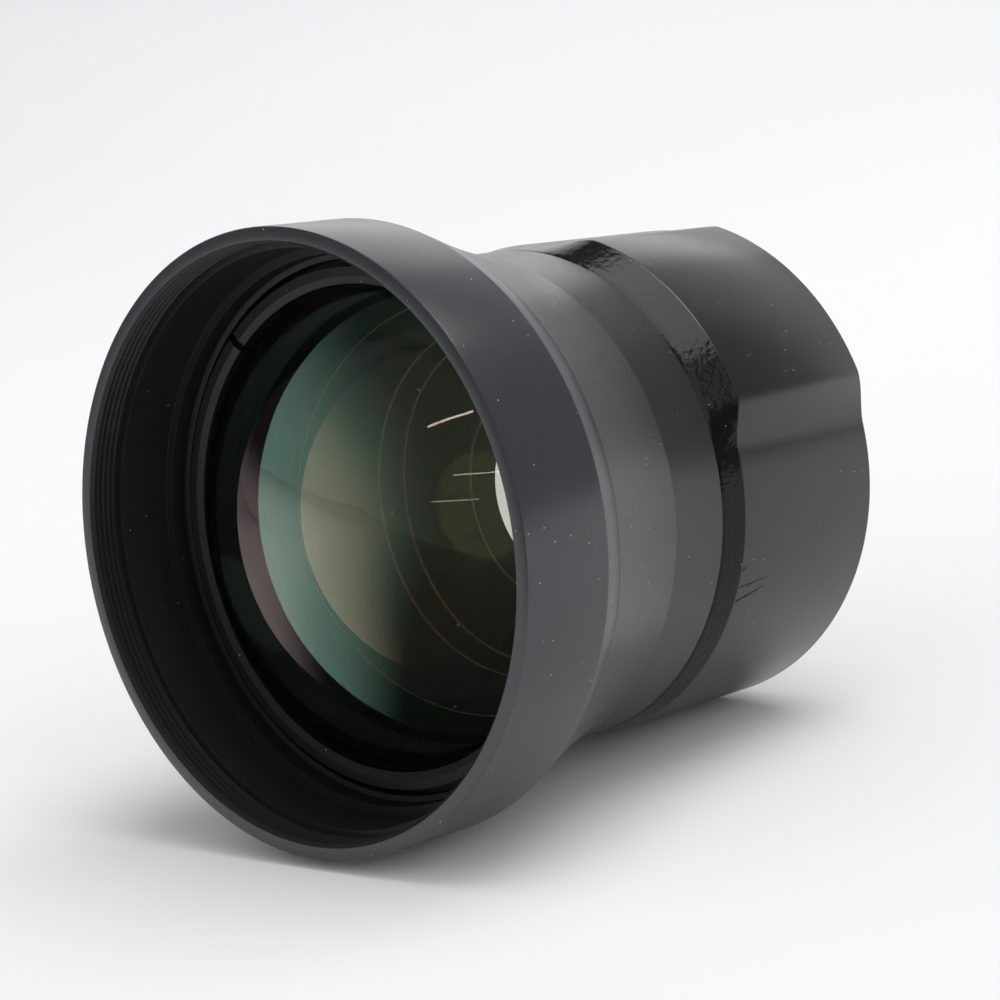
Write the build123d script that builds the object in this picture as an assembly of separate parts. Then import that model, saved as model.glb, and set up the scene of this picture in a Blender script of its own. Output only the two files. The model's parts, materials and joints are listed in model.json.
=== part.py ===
from build123d import *
import math
import os

# Tele conversion lens, lying on its side: front towards -Y, X to the right
# seen from the front, Z up, the origin on the table under the middle.
#
# Every piece is drawn first about a vertical axis, with its station Z
# counted from the front face towards the rear, and is laid down at the end.

# Driving dimensions, mm

# Front glass, the size that every other radius follows
front_element_radius = 29.30
front_curve = 40.0
front_vertex = 1.66
front_centre = 12.34
front_back_curve = 52.6

# Front retaining ring
ring_thread_depth = 0.40
ring_contact_inset = 0.80
ring_inner_inset = 1.49
ring_height = 1.20
ring_flat_width = 1.10
ring_bevel_depth = 0.36
notch_width = 1.00
notch_depth = 0.80
notch_angle = 49.4

# Main barrel
relief_width = 0.85
relief_depth = 2.10
spigot_wall = 0.69
spigot_lead = 1.99
spigot_face_slope = 0.21
element_lead_in = 0.80
neck_length = 15.22
neck_step = 0.15
neck_hollow = 0.36
barrel_wall = 1.75
pair_shell = 1.50
ledge_width = 3.00
ledge_thickness = 1.40
barrel_inset = 1.69

# Front hood ring
hood_ledge = 1.05
filter_thread_depth = 0.70
lip_chamfer_width = 0.37
lip_chamfer_depth = 0.45
lip_width = 1.58
lip_break = 0.24
filter_thread_end = 3.93
hood_ledge_inset = 1.56
hood_bevel_lead = 1.87
hood_bevel_length = 3.04
hood_bevel_drop = 1.10

# Cemented pair and its spacer
pair_step = 4.30
pair_air_gap = 0.50
pair_front_curve = 31.2
pair_cement_curve = 250.0
pair_back_curve = 37.0
pair_crown_edge = 1.40
pair_flint_centre = 1.80
pair_hollow_radius = 15.70
cement_thickness = 0.02
spacer_width = 1.50

# Parts between the groups
baffle_thickness = 1.20
baffle_inset = 8.80
trap_wall = 1.84
trap_length = 8.40
trap_pitch = 1.10
trap_groove_depth = 0.90
carrier_thickness = 3.20
lock_ring_thickness = 1.80
lock_ring_width = 2.40
shim_thickness = 0.30

# Rear group
fourth_step = 7.80
fourth_front_curve = 62.0
fourth_back_curve = 44.0
fourth_centre = 2.27
rear_spacer_width = 1.40
rear_spacer_length = 2.20
fifth_front_curve = 46.0
fifth_back_curve = 120.0
fifth_centre = 4.60
rear_ring_length = 1.80
rear_ring_width = 1.60
cell_wall = 3.10
cell_nose_length = 3.00
cell_nose_slope = 1.00
cell_stop_width = 2.00
cell_flange_width = 2.40
cell_flange_thickness = 1.60
cell_overhang = 0.20
light_stop_thickness = 0.60

# Mount ring
mount_thread_inset = 2.00
mount_thread_length = 3.60
mount_thread_chamfer = 0.40
mount_wall = 2.90
mount_flange_width = 0.60
mount_flange_thickness = 1.40
mount_skirt_length = 4.60
mount_skirt_wall = 2.24
grub_screw_radius = 1.00
grub_screw_count = 3
grub_socket_radius = 0.55
grub_socket_depth = 0.90
grub_screw_recess = 0.10

# Grip sleeve
sleeve_lead = 8.70
sleeve_length = 28.83
sleeve_front_wall = 1.20
sleeve_swell = 0.50
sleeve_slope_length = 3.67
sleeve_rear_break = 0.35
pad_height = 1.60
pad_slope_length = 4.44
pad_full_angle = 50.0
pad_ramp_angle = 11.0
pad_round = 2.00
pad_run_out = 2.50

# Fits
slide_gap = 0.05
thread_gap = 0.06
cutter_overrun = 1.00


def place(radius, angle):
    """Point at a radius and an angle in degrees about the lens axis."""
    turn = math.radians(angle)
    return radius * math.cos(turn), radius * math.sin(turn)


def sag(curve, radius):
    """Depth of a sphere's cap of the given curve radius, at a radius."""
    return curve - math.sqrt(curve * curve - radius * radius)


def turned(*edges):
    """Solid turned about the lens axis from edges in radius and station."""
    section = make_face(Wire(edges).edges())
    return revolve(Plane.XZ * section, axis=Axis.Z)


def turned_outline(*points):
    """Solid turned from a closed outline of (radius, station) corners."""
    return turned(*Polyline(*points, close=True).edges())


def turned_tube(inner, outer, start, end):
    """Plain tube between two radii and two stations."""
    return turned_outline((inner, start), (outer, start), (outer, end), (inner, end))


def cap(curve, radius, vertex):
    """Arc of a lens surface from the axis to a radius.

    A positive curve has its centre behind the surface.
    """
    def station(at):
        return vertex + math.copysign(sag(abs(curve), at), curve)
    return ThreePointArc((0, vertex), (radius / 2, station(radius / 2)), (radius, station(radius)))


def lens(front, back, radius, vertex, centre):
    """Lens element of two spheres, given the station of its front vertex."""
    front_arc = cap(front, radius, vertex)
    back_arc = cap(back, radius, vertex + centre)
    return turned(
        front_arc,
        Line(front_arc @ 1, back_arc @ 1),
        back_arc,
        Line((0, vertex + centre), (0, vertex)),
    )


# Radii, from the front glass outwards and inwards
element_bore_radius = front_element_radius + slide_gap
ring_outer_radius = element_bore_radius + ring_thread_depth
ring_contact_radius = front_element_radius - ring_contact_inset
ring_inner_radius = front_element_radius - ring_inner_inset
relief_radius = ring_outer_radius + relief_width
spigot_radius = relief_radius + spigot_wall
hood_seat_radius = spigot_radius + thread_gap
hood_bore_radius = hood_seat_radius + hood_ledge
filter_thread_radius = hood_bore_radius + filter_thread_depth
lip_chamfer_radius = filter_thread_radius + lip_chamfer_width
hood_radius = lip_chamfer_radius + lip_width
neck_start_radius = hood_radius - hood_bevel_drop
pair_radius = front_element_radius - pair_step
pair_bore_radius = pair_radius + slide_gap
spacer_inner_radius = pair_radius - spacer_width
ledge_radius = pair_radius - ledge_width
barrel_bore_radius = pair_radius + pair_shell
inner_ring_radius = barrel_bore_radius - thread_gap
sleeve_seat_radius = barrel_bore_radius + barrel_wall
sleeve_bore_radius = sleeve_seat_radius + slide_gap
barrel_radius = sleeve_bore_radius + sleeve_front_wall
neck_end_radius = barrel_radius + neck_step
sleeve_radius = barrel_radius + sleeve_swell
pad_radius = sleeve_radius + pad_height
fourth_radius = pair_radius - fourth_step
cell_bore_radius = fourth_radius + slide_gap
cell_body_radius = cell_bore_radius + cell_wall
carrier_bore_radius = cell_body_radius + slide_gap
mount_flange_radius = sleeve_bore_radius + mount_flange_width
sleeve_rebate_radius = mount_flange_radius + slide_gap
mount_thread_radius = barrel_bore_radius - mount_thread_inset
mount_bore_radius = mount_thread_radius - mount_wall

# Stations, from the front glass to the rear
contact_slope = ring_contact_radius / math.sqrt(front_curve ** 2 - ring_contact_radius ** 2)
ring_contact = front_vertex + sag(front_curve, ring_contact_radius)
ring_face = ring_contact - ring_height
front_back_vertex = front_vertex + front_centre
front_edge_end = front_back_vertex + sag(front_back_curve, front_element_radius)
pair_front_vertex = front_back_vertex + pair_air_gap
front_spacer_end = pair_front_vertex + sag(pair_front_curve, spacer_inner_radius)
pair_front_rim = pair_front_vertex + sag(pair_front_curve, pair_radius)
pair_cement_rim = pair_front_rim + pair_crown_edge
pair_cement_vertex = pair_cement_rim + sag(pair_cement_curve, pair_radius)
pair_back_vertex = pair_cement_vertex + cement_thickness + pair_flint_centre
pair_shoulder = pair_back_vertex + sag(pair_back_curve, pair_hollow_radius)
ledge_end = pair_shoulder + ledge_thickness
hood_bore_end = ring_face - hood_ledge_inset
hood_bevel_start = hood_bore_end + hood_bevel_lead
hood_length = hood_bevel_start + hood_bevel_length
spigot_start = hood_bore_end + spigot_lead
relief_end = spigot_start + relief_depth
neck_end = hood_length + neck_length
sleeve_start = neck_end + sleeve_lead
sleeve_front_rim = sleeve_start + sleeve_slope_length
pad_front_rim = sleeve_start + pad_slope_length
sleeve_end = sleeve_start + sleeve_length
barrel_end = sleeve_end - barrel_inset
baffle_end = ledge_end + baffle_thickness
carrier_start = baffle_end + trap_length
carrier_end = carrier_start + carrier_thickness
cell_flange_start = carrier_end + shim_thickness
fourth_edge = fourth_centre + sag(fourth_front_curve, fourth_radius)
fourth_edge += sag(fourth_back_curve, fourth_radius)
fourth_end = cell_flange_start + fourth_edge
fifth_start = fourth_end + rear_spacer_length
rear_spacer_inner = fourth_radius - rear_spacer_width
fifth_vertex = fifth_start - sag(fifth_front_curve, rear_spacer_inner)
fifth_end = fifth_vertex + fifth_centre + sag(fifth_back_curve, fourth_radius)
rear_ring_end = fifth_end + rear_ring_length
cell_end = rear_ring_end + cell_overhang
mount_flange_end = barrel_end + mount_flange_thickness
mount_end = mount_flange_end + mount_thread_length


def front_hood_ring():
    """Bell with a broken lip, thread zone, stepped bore and rear bevel."""
    return turned_outline(
        (lip_chamfer_radius, 0),
        (hood_radius - lip_break, 0),
        (hood_radius, lip_break),
        (hood_radius, hood_bevel_start),
        (neck_start_radius, hood_length),
        (hood_seat_radius, hood_length),
        (hood_seat_radius, hood_bore_end),
        (hood_bore_radius, hood_bore_end),
        (hood_bore_radius, filter_thread_end),
        (filter_thread_radius, filter_thread_end),
        (filter_thread_radius, lip_chamfer_depth),
    )


def main_barrel():
    """Hollow neck with an inward curve, spigot in front, long tube behind."""
    middle = (hood_length + neck_end) / 2
    middle_radius = (neck_start_radius + neck_end_radius) / 2 - neck_hollow
    outside = Polyline(
        (spigot_radius, spigot_start),
        (spigot_radius, hood_length),
        (neck_start_radius, hood_length),
    )
    neck = ThreePointArc(
        (neck_start_radius, hood_length),
        (middle_radius, middle),
        (neck_end_radius, neck_end),
    )
    rest = Polyline(
        (neck_end_radius, neck_end),
        (barrel_radius, neck_end),
        (barrel_radius, sleeve_start),
        (sleeve_seat_radius, sleeve_start),
        (sleeve_seat_radius, barrel_end),
        (barrel_bore_radius, barrel_end),
        (barrel_bore_radius, ledge_end),
        (ledge_radius, ledge_end),
        (ledge_radius, pair_shoulder),
        (pair_bore_radius, pair_shoulder),
        (pair_bore_radius, front_spacer_end),
        (element_bore_radius, front_spacer_end),
        (element_bore_radius, relief_end + element_lead_in),
        (ring_outer_radius + thread_gap, relief_end),
        (relief_radius, relief_end),
        (relief_radius, spigot_start + spigot_face_slope),
        (spigot_radius, spigot_start),
    )
    barrel = turned(*outside.edges(), neck, *rest.edges())
    inner = barrel_bore_radius - cutter_overrun
    outer = sleeve_seat_radius + cutter_overrun
    for screw in range(grub_screw_count):
        barrel -= radial_pin(screw, grub_screw_radius + slide_gap, inner, outer)
    return barrel


def front_retaining_ring():
    """Ring whose underside is a cone that touches the front glass."""
    inner_end = ring_contact - (ring_contact_radius - ring_inner_radius) * contact_slope
    outer_end = ring_contact + (ring_outer_radius - ring_contact_radius) * contact_slope
    ring = turned_outline(
        (ring_inner_radius, ring_face + ring_bevel_depth),
        (ring_outer_radius - ring_flat_width, ring_face),
        (ring_outer_radius, ring_face),
        (ring_outer_radius, outer_end),
        (ring_inner_radius, inner_end),
    )
    slot = Box(4 * ring_outer_radius, notch_width, 2 * notch_depth)
    slot = Rot(0, 0, notch_angle) * (Pos(0, 0, ring_face) * slot)
    return ring - slot


def front_element():
    """Thick front glass, strongly curved in front and hollow behind."""
    return lens(front_curve, front_back_curve, front_element_radius, front_vertex, front_centre)


def front_spacer_ring():
    """Ring that sets the air gap between the front glass and the pair."""
    return turned_tube(
        spacer_inner_radius, front_element_radius, front_edge_end, front_spacer_end
    )


def second_element():
    """Thick biconvex crown of the cemented pair."""
    centre = pair_cement_vertex - pair_front_vertex
    return lens(pair_front_curve, -pair_cement_curve, pair_radius, pair_front_vertex, centre)


def third_element():
    """Biconcave flint cemented to the crown, its hollow inside a flat rim."""
    vertex = pair_cement_vertex + cement_thickness
    front_arc = cap(-pair_cement_curve, pair_radius, vertex)
    hollow = cap(pair_back_curve, pair_hollow_radius, pair_back_vertex)
    return turned(
        front_arc,
        Line(front_arc @ 1, (pair_radius, pair_shoulder)),
        Line((pair_radius, pair_shoulder), hollow @ 1),
        hollow,
        Line((0, pair_back_vertex), (0, vertex)),
    )


def baffle_ring():
    """Thin blackened ring with a knife edge towards the front."""
    opening = pair_radius - baffle_inset
    return turned_outline(
        (opening, ledge_end),
        (inner_ring_radius, ledge_end),
        (inner_ring_radius, baffle_end),
        (opening + baffle_thickness, baffle_end),
    )


def light_trap_tube():
    """Tube with ring grooves inside that swallow stray light."""
    opening = inner_ring_radius - trap_wall
    tube = turned_tube(opening, inner_ring_radius, baffle_end, carrier_start)
    grooves = int(trap_length / trap_pitch) - 1
    start = baffle_end + (trap_length - grooves * trap_pitch) / 2
    for groove in range(grooves):
        front = start + groove * trap_pitch
        tube -= turned_outline(
            (opening - slide_gap, front),
            (opening + trap_groove_depth, front),
            (opening - slide_gap, front + 0.8 * trap_pitch),
        )
    return tube


def cell_carrier_ring():
    """Web ring in the barrel that carries the rear cell."""
    return turned_tube(carrier_bore_radius, inner_ring_radius, carrier_start, carrier_end)


def carrier_lock_ring():
    """Threaded ring behind the carrier that locks it."""
    inner = inner_ring_radius - lock_ring_width
    return turned_tube(inner, inner_ring_radius, carrier_end, carrier_end + lock_ring_thickness)


cell_flange_radius = carrier_bore_radius + cell_flange_width


def rear_cell_shim():
    """Thin ring that sets the distance between the two lens groups."""
    return turned_tube(carrier_bore_radius, cell_flange_radius, carrier_end, cell_flange_start)


def rear_cell():
    """Stepped cell with a flange, a stop in front and the rear glass inside."""
    flange_end = cell_flange_start + cell_flange_thickness
    cell_front = carrier_start - cell_nose_length
    return turned_outline(
        (fourth_radius - cell_stop_width, cell_flange_start),
        (cell_body_radius - cell_nose_slope, cell_front),
        (cell_body_radius, cell_front),
        (cell_body_radius, cell_flange_start),
        (cell_flange_radius, cell_flange_start),
        (cell_flange_radius, flange_end),
        (cell_body_radius, flange_end),
        (cell_body_radius, cell_end),
        (cell_bore_radius, cell_end),
        (cell_bore_radius, cell_flange_start),
    )


def fourth_element():
    """Biconcave element at the front of the rear group."""
    vertex = cell_flange_start + sag(fourth_front_curve, fourth_radius)
    return lens(-fourth_front_curve, fourth_back_curve, fourth_radius, vertex, fourth_centre)


def rear_spacer_ring():
    """Ring that sets the air gap in the rear group."""
    return turned_tube(rear_spacer_inner, fourth_radius, fourth_end, fifth_start)


def fifth_element():
    """Meniscus at the rear of the converter."""
    return lens(fifth_front_curve, fifth_back_curve, fourth_radius, fifth_vertex, fifth_centre)


rear_ring_inner = fourth_radius - rear_ring_width


def rear_retaining_ring():
    """Ring with a bevelled inner edge that holds the rear group."""
    return turned_outline(
        (rear_ring_inner, fifth_end),
        (fourth_radius, fifth_end),
        (fourth_radius, rear_ring_end),
        (rear_ring_inner + rear_ring_width / 2, rear_ring_end),
    )


def rear_light_stop():
    """Thin stop washer on the rear end of the cell."""
    return turned_tube(rear_ring_inner, cell_body_radius, cell_end, cell_end + light_stop_thickness)


def mount_ring():
    """Rear ring with a male thread, a flange and a skirt in the barrel."""
    skirt_bore = inner_ring_radius - mount_skirt_wall
    return turned_outline(
        (mount_bore_radius, mount_end),
        (mount_thread_radius - mount_thread_chamfer, mount_end),
        (mount_thread_radius, mount_end - mount_thread_chamfer),
        (mount_thread_radius, mount_flange_end),
        (mount_flange_radius, mount_flange_end),
        (mount_flange_radius, barrel_end),
        (inner_ring_radius, barrel_end),
        (inner_ring_radius, barrel_end - mount_skirt_length),
        (skirt_bore, barrel_end - mount_skirt_length),
        (mount_bore_radius, barrel_end),
    )


def radial_pin(screw, radius, inner, outer):
    """Radial cylinder at one screw's place, between two radii."""
    angle = 360 * screw / grub_screw_count
    station = barrel_end - mount_skirt_length / 2
    pin = Cylinder(radius, outer - inner, rotation=(0, 90, 0))
    return Rot(0, 0, angle) * (Pos((inner + outer) / 2, 0, station) * pin)


def mount_grub_screws():
    """Headless screws that stop the mount ring from turning."""
    inner = barrel_bore_radius + slide_gap
    outer = sleeve_seat_radius - grub_screw_recess
    mouth = outer + cutter_overrun
    screws = []
    for screw in range(grub_screw_count):
        body = radial_pin(screw, grub_screw_radius, inner, outer)
        body -= radial_pin(screw, grub_socket_radius, outer - grub_socket_depth, mouth)
        screws.append(body)
    return Compound(children=screws)


def sleeve_section(inner, radius, front_rim):
    """Corners of the sleeve's wall for one outer radius and front rim."""
    return (
        (inner, sleeve_start),
        (barrel_radius, sleeve_start),
        (radius, front_rim),
        (radius, sleeve_end - sleeve_rear_break),
        (radius - sleeve_rear_break, sleeve_end),
    )


# On the table the low arc touches below, and so does the round of one pad.
table_angle = 90
pad_round_radius = pad_radius - pad_round
pad_turn = math.degrees(math.acos((sleeve_radius - pad_round) / pad_round_radius))
pad_centre_angle = table_angle + pad_turn + pad_full_angle / 2


def pad_flank(middle, side):
    """Corners of a pad's flank, from its full arc to its end below the sleeve.

    The flank leaves the full arc by a round and runs on as a straight line
    through its foot on the low arc.
    """
    edge_angle = middle + side * pad_full_angle / 2
    top = Vector(*place(pad_radius, edge_angle))
    centre = Vector(*place(pad_round_radius, edge_angle))
    foot = Vector(*place(sleeve_radius, edge_angle + side * pad_ramp_angle))
    reach = (centre - foot).length
    opening = math.degrees(math.asin(pad_round / reach))
    along = (centre - foot).normalized().rotate(Axis.Z, side * opening)
    leave = foot + along * math.sqrt(reach ** 2 - pad_round ** 2)
    crest = centre + ((top - centre) + (leave - centre)).normalized() * pad_round
    return top, crest, leave, foot - along * pad_run_out


def pad_column(side):
    """Wedge from the lens axis with the outline of one pad."""
    middle = pad_centre_angle + 180 * side
    top_a, crest_a, leave_a, end_a = pad_flank(middle, -1)
    top_b, crest_b, leave_b, end_b = pad_flank(middle, 1)
    face = make_face([
        Line((0, 0), end_a),
        Line(end_a, leave_a),
        ThreePointArc(leave_a, crest_a, top_a),
        ThreePointArc(top_a, place(pad_radius, middle), top_b),
        ThreePointArc(top_b, crest_b, leave_b),
        Line(leave_b, end_b),
        Line(end_b, (0, 0)),
    ])
    return Pos(0, 0, sleeve_start) * extrude(face, sleeve_length)


def grip_sleeve():
    """Sleeve that blends from a round front edge into two long raised pads."""
    wall = turned_outline(
        *sleeve_section(sleeve_bore_radius, sleeve_radius, sleeve_front_rim),
        (sleeve_rebate_radius, sleeve_end),
        (sleeve_rebate_radius, barrel_end),
        (sleeve_bore_radius, barrel_end),
    )
    root = (sleeve_rebate_radius + barrel_radius) / 2
    raised = turned_outline(
        *sleeve_section(root, pad_radius, pad_front_rim),
        (root, sleeve_end),
    )
    for side in range(2):
        wall += raised & pad_column(side)
    return wall


builders = [
    front_hood_ring, main_barrel, front_retaining_ring, front_element, front_spacer_ring,
    second_element, third_element, baffle_ring, light_trap_tube, cell_carrier_ring,
    carrier_lock_ring, rear_cell_shim, rear_cell, fourth_element, rear_spacer_ring,
    fifth_element, rear_retaining_ring, rear_light_stop, mount_ring, mount_grub_screws,
    grip_sleeve,
]

# The lens touches the table with the corner of its hood and the rear rim of
# its sleeve, so its axis falls towards the rear.
contact_length = sleeve_end - sleeve_rear_break - hood_bevel_start
tilt = math.degrees(math.atan((hood_radius - sleeve_radius) / contact_length))
laid = Rot(-(90 + tilt), 0, 0)


def main():
    os.makedirs("parts", exist_ok=True)
    pieces = {builder.__name__: laid * builder() for builder in builders}
    boxes = [piece.bounding_box() for piece in pieces.values()]
    front = min(box.min.Y for box in boxes)
    rear = max(box.max.Y for box in boxes)
    table = min(box.min.Z for box in boxes)
    lift = Pos(0, -(front + rear) / 2, -table)
    for name, piece in pieces.items():
        export_step(lift * piece, f"parts/{name}.step")
    print("tilt of the axis, degrees:", round(tilt, 3))
    print("front face's middle, mm:", round(lift.position.Y, 3), round(lift.position.Z, 3))


main()
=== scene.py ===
# %% [markdown]
# Tele conversion lens. A wide bell holds a thick coated glass, a waisted
# barrel follows, and a sleeve with two raised pads ends at a mount thread.
# The frame brings every solid of the part at its real size and place.
# Nearly all of it was turned on a lathe, so nearly every surface here is a
# profile swept round one axis, worked out with numpy as whole arrays.

# %% Load the frame
import json
import math

import bpy
import numpy as np
from mathutils import Matrix, Vector


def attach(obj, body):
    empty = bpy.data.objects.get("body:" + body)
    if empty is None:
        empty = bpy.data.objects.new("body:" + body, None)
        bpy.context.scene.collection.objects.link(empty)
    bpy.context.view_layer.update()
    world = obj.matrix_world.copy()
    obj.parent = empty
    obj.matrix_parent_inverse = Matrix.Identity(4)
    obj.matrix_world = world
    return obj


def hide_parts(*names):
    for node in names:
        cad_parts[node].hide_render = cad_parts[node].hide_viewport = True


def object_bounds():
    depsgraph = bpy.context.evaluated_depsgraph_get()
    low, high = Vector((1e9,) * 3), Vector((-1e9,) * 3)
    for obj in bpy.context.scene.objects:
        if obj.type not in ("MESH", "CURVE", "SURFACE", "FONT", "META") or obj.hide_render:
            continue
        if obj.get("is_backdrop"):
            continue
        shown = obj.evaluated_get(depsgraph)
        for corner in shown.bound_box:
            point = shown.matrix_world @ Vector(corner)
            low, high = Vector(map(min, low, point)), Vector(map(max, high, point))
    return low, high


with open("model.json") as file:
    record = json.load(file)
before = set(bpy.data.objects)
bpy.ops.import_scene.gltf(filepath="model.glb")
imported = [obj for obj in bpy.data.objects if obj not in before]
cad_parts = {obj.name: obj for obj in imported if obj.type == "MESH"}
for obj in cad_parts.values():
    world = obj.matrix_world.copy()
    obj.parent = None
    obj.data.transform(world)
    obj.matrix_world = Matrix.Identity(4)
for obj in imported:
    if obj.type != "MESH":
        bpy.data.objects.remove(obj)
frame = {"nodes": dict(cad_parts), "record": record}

MM = 0.001
cad_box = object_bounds()
nodes = frame["nodes"]
mounts = {mount["name"]: mount for mount in frame["record"]["mounts"]}
print("nodes in the frame:", len(nodes))

# %% [markdown]
# The lens lies on its side with its axis falling a little to the rear. Three
# directions describe it: along the axis to the rear, up across the axis, and
# to the right seen from the front. A place on the lens is then a radius, an
# angle counted from the top towards the right, and a station, which is the
# distance behind the front face. The mount thread gives the axis.

# %% Directions of the lens
AXIS = np.array(mounts["mount_thread"]["axis"], float)
AXIS /= np.linalg.norm(AXIS)
RIGHT = np.array((1.0, 0.0, 0.0))
UP = np.cross(RIGHT, AXIS)
THREAD_MIDDLE = 69.803
FRONT = np.array(mounts["mount_thread"]["pos_m"]) / MM - THREAD_MIDDLE * AXIS


def on_lens(radius, angle, station):
    """Places in metres: front + station * axis + radius * (cos up + sin right)."""
    radius, angle, station = np.broadcast_arrays(radius, np.radians(angle), station)
    across = np.cos(angle)[..., None] * UP + np.sin(angle)[..., None] * RIGHT
    return (FRONT + station[..., None] * AXIS + radius[..., None] * across) * MM


print("front face's middle, mm:", np.round(FRONT, 2))
print("axis falls, degrees:", round(math.degrees(math.asin(-AXIS[2])), 2))

# %% [markdown]
# The camera comes first. The lip, the ledges and the rims are all circles on
# one axis, and their ellipses in the picture fix the place, the tilt and the
# focal length.

# %% Camera
CAMERA_PLACE = (208.22, -222.30, 87.86)
CAMERA_FORWARD = Vector((-0.6736, 0.7176, -0.1770)).normalized()
CAMERA_RIGHT = Vector((0.7390, 0.6568, -0.1499)).normalized()
FOCAL_LENGTH = 93.6
SENSOR_WIDTH = 36.0

camera_data = bpy.data.cameras.new("camera")
camera_data.lens = FOCAL_LENGTH
camera_data.sensor_fit = "HORIZONTAL"
camera_data.sensor_width = SENSOR_WIDTH
camera_data.clip_start = 0.01
camera_data.clip_end = 20.0
camera = bpy.data.objects.new("camera", camera_data)
bpy.context.collection.objects.link(camera)
camera_up = CAMERA_RIGHT.cross(CAMERA_FORWARD)
turn = Matrix((CAMERA_RIGHT, camera_up, -CAMERA_FORWARD)).transposed()
camera.matrix_world = Matrix.Translation(Vector(CAMERA_PLACE) * MM) @ turn.to_4x4()
bpy.context.scene.camera = camera
print("camera looks down, degrees:", round(math.degrees(math.asin(-CAMERA_FORWARD.z)), 1))

# %% [markdown]
# Colours are written as the sRGB values of a picture, and one function turns
# them into the linear values that the shaders need. One small function adds a
# node with its settings and its links.

# %% Helpers for materials
def linear(code, alpha=1.0):
    """Linear colour of a hex code: c / 12.92 below 0.04045, else a power of 2.4."""
    value = np.array([int(code[i:i + 2], 16) / 255 for i in (1, 3, 5)])
    low = value / 12.92
    high = ((value + 0.055) / 1.055) ** 2.4
    return (*np.where(value <= 0.04045, low, high).tolist(), alpha)


def add(tree, kind, settings=None, **links):
    """Adds a node; settings go to properties or sockets, links to sockets."""
    node = tree.nodes.new(kind)
    for key, value in (settings or {}).items():
        if isinstance(key, int) or key in node.inputs:
            node.inputs[key].default_value = value
        else:
            setattr(node, key, value)
    for key, source in links.items():
        socket = int(key[1:]) if key[1:].isdigit() else key.replace("_", " ")
        tree.links.new(source, node.inputs[socket])
    return node


def calculate(tree, operation, first, second=None):
    """Output of a maths node; second is a link or a number."""
    settings = {"operation": operation}
    links = {"_0": first}
    if isinstance(second, (int, float)):
        settings[1] = second
    elif second is not None:
        links["_1"] = second
    return add(tree, "ShaderNodeMath", settings, **links).outputs[0]


def smooth_share(tree, value, start, stop, low, high):
    """Smooth step t * t * (3 - 2 * t) of a value, from low at start to high at stop."""
    settings = {"interpolation_type": "SMOOTHSTEP", 1: start, 2: stop, 3: low, 4: high}
    return add(tree, "ShaderNodeMapRange", settings, _0=value).outputs[0]


def new_material(name):
    """Empty node material with its output node."""
    material = bpy.data.materials.new(name)
    material.use_nodes = True
    material.node_tree.nodes.clear()
    output = material.node_tree.nodes.new("ShaderNodeOutputMaterial")
    return material, material.node_tree, output


# %% [markdown]
# The table is a white sheet that runs up behind the lens. The camera sees it
# nearly white, and it keeps the lens's shadow. For what the glass mirrors, the
# sheet's colour is painted dark, a painted reflection of a dark room, white only
# towards the window at the far left.

# %% Table and backdrop
TABLE_HALF = 3.0
TABLE_FRONT = 0.17
SWEEP_START = 0.9
SWEEP_RADIUS = 1.2
SWEEP_TOP = 2.6
WINDOW_SIDE = (-0.966, -0.259, -0.035)
WINDOW_EDGE = 0.70
WINDOW_FULL = 0.99
PAPER_WHITE = "#F0F0F1"
PAINTED_REFLECTION_DARK = "#2A2A2A"


def towards_window(tree, direction):
    """Share from 0 to 1: smooth step of the cosine between a direction and the window's."""
    cosine = add(tree, "ShaderNodeVectorMath", {"operation": "DOT_PRODUCT", 1: WINDOW_SIDE}, _0=direction)
    return smooth_share(tree, cosine.outputs["Value"], WINDOW_EDGE, WINDOW_FULL, 0.0, 1.0)


def grid_mesh(name, points, close_u=False, close_v=False):
    """Mesh of quads over a grid of points (rows, columns, 3), closed or open."""
    rows, columns = points.shape[:2]
    index = np.arange(rows * columns).reshape(rows, columns)
    below = np.roll(index, -1, axis=0) if close_u else index[1:]
    base = index if close_u else index[:-1]
    if close_v:
        next_base, next_below = np.roll(base, -1, axis=1), np.roll(below, -1, axis=1)
    else:
        next_base, next_below = base[:, 1:], below[:, 1:]
        base, below = base[:, :-1], below[:, :-1]
    quads = np.stack((base, next_base, next_below, below), axis=-1).reshape(-1, 4)
    mesh = bpy.data.meshes.new(name)
    mesh.from_pydata(points.reshape(-1, 3), [], quads.tolist())
    mesh.polygons.foreach_set("use_smooth", np.ones(len(quads), bool))
    return mesh


def add_object(mesh, material=None):
    """Object at the origin for a mesh, with one material."""
    item = bpy.data.objects.new(mesh.name, mesh)
    bpy.context.collection.objects.link(item)
    if material:
        mesh.materials.append(material)
    return item


back = Vector((CAMERA_FORWARD.x, CAMERA_FORWARD.y, 0)).normalized()
side = Vector((back.y, -back.x, 0))
arc = np.radians(np.linspace(0, 90, 25))
curved = SWEEP_START + SWEEP_RADIUS * np.sin(arc)
run = np.concatenate(([-TABLE_FRONT, 0.0], curved, [SWEEP_START + SWEEP_RADIUS]))
rise = np.concatenate(([0.0, 0.0], SWEEP_RADIUS * (1 - np.cos(arc)), [SWEEP_TOP]))
across = np.linspace(-TABLE_HALF, TABLE_HALF, 9)
sheet = run[:, None, None] * np.array(back) + across[None, :, None] * np.array(side)
sheet = sheet + rise[:, None, None] * np.array((0, 0, 1.0))
table_paper, tree, output = new_material("white_paper_painted_dark_in_mirrors")
path = add(tree, "ShaderNodeLightPath")
place = add(tree, "ShaderNodeTexCoord")
outward = add(tree, "ShaderNodeVectorMath", {"operation": "NORMALIZE"}, _0=place.outputs["Object"])
# Painted reflection: for mirror rays the sheet shows a dark colour, white only towards the window.
shown = add(tree, "ShaderNodeMix", {"data_type": "RGBA", 6: linear(PAINTED_REFLECTION_DARK), 7: linear(PAPER_WHITE)},
            _0=towards_window(tree, outward.outputs[0]))
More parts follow.
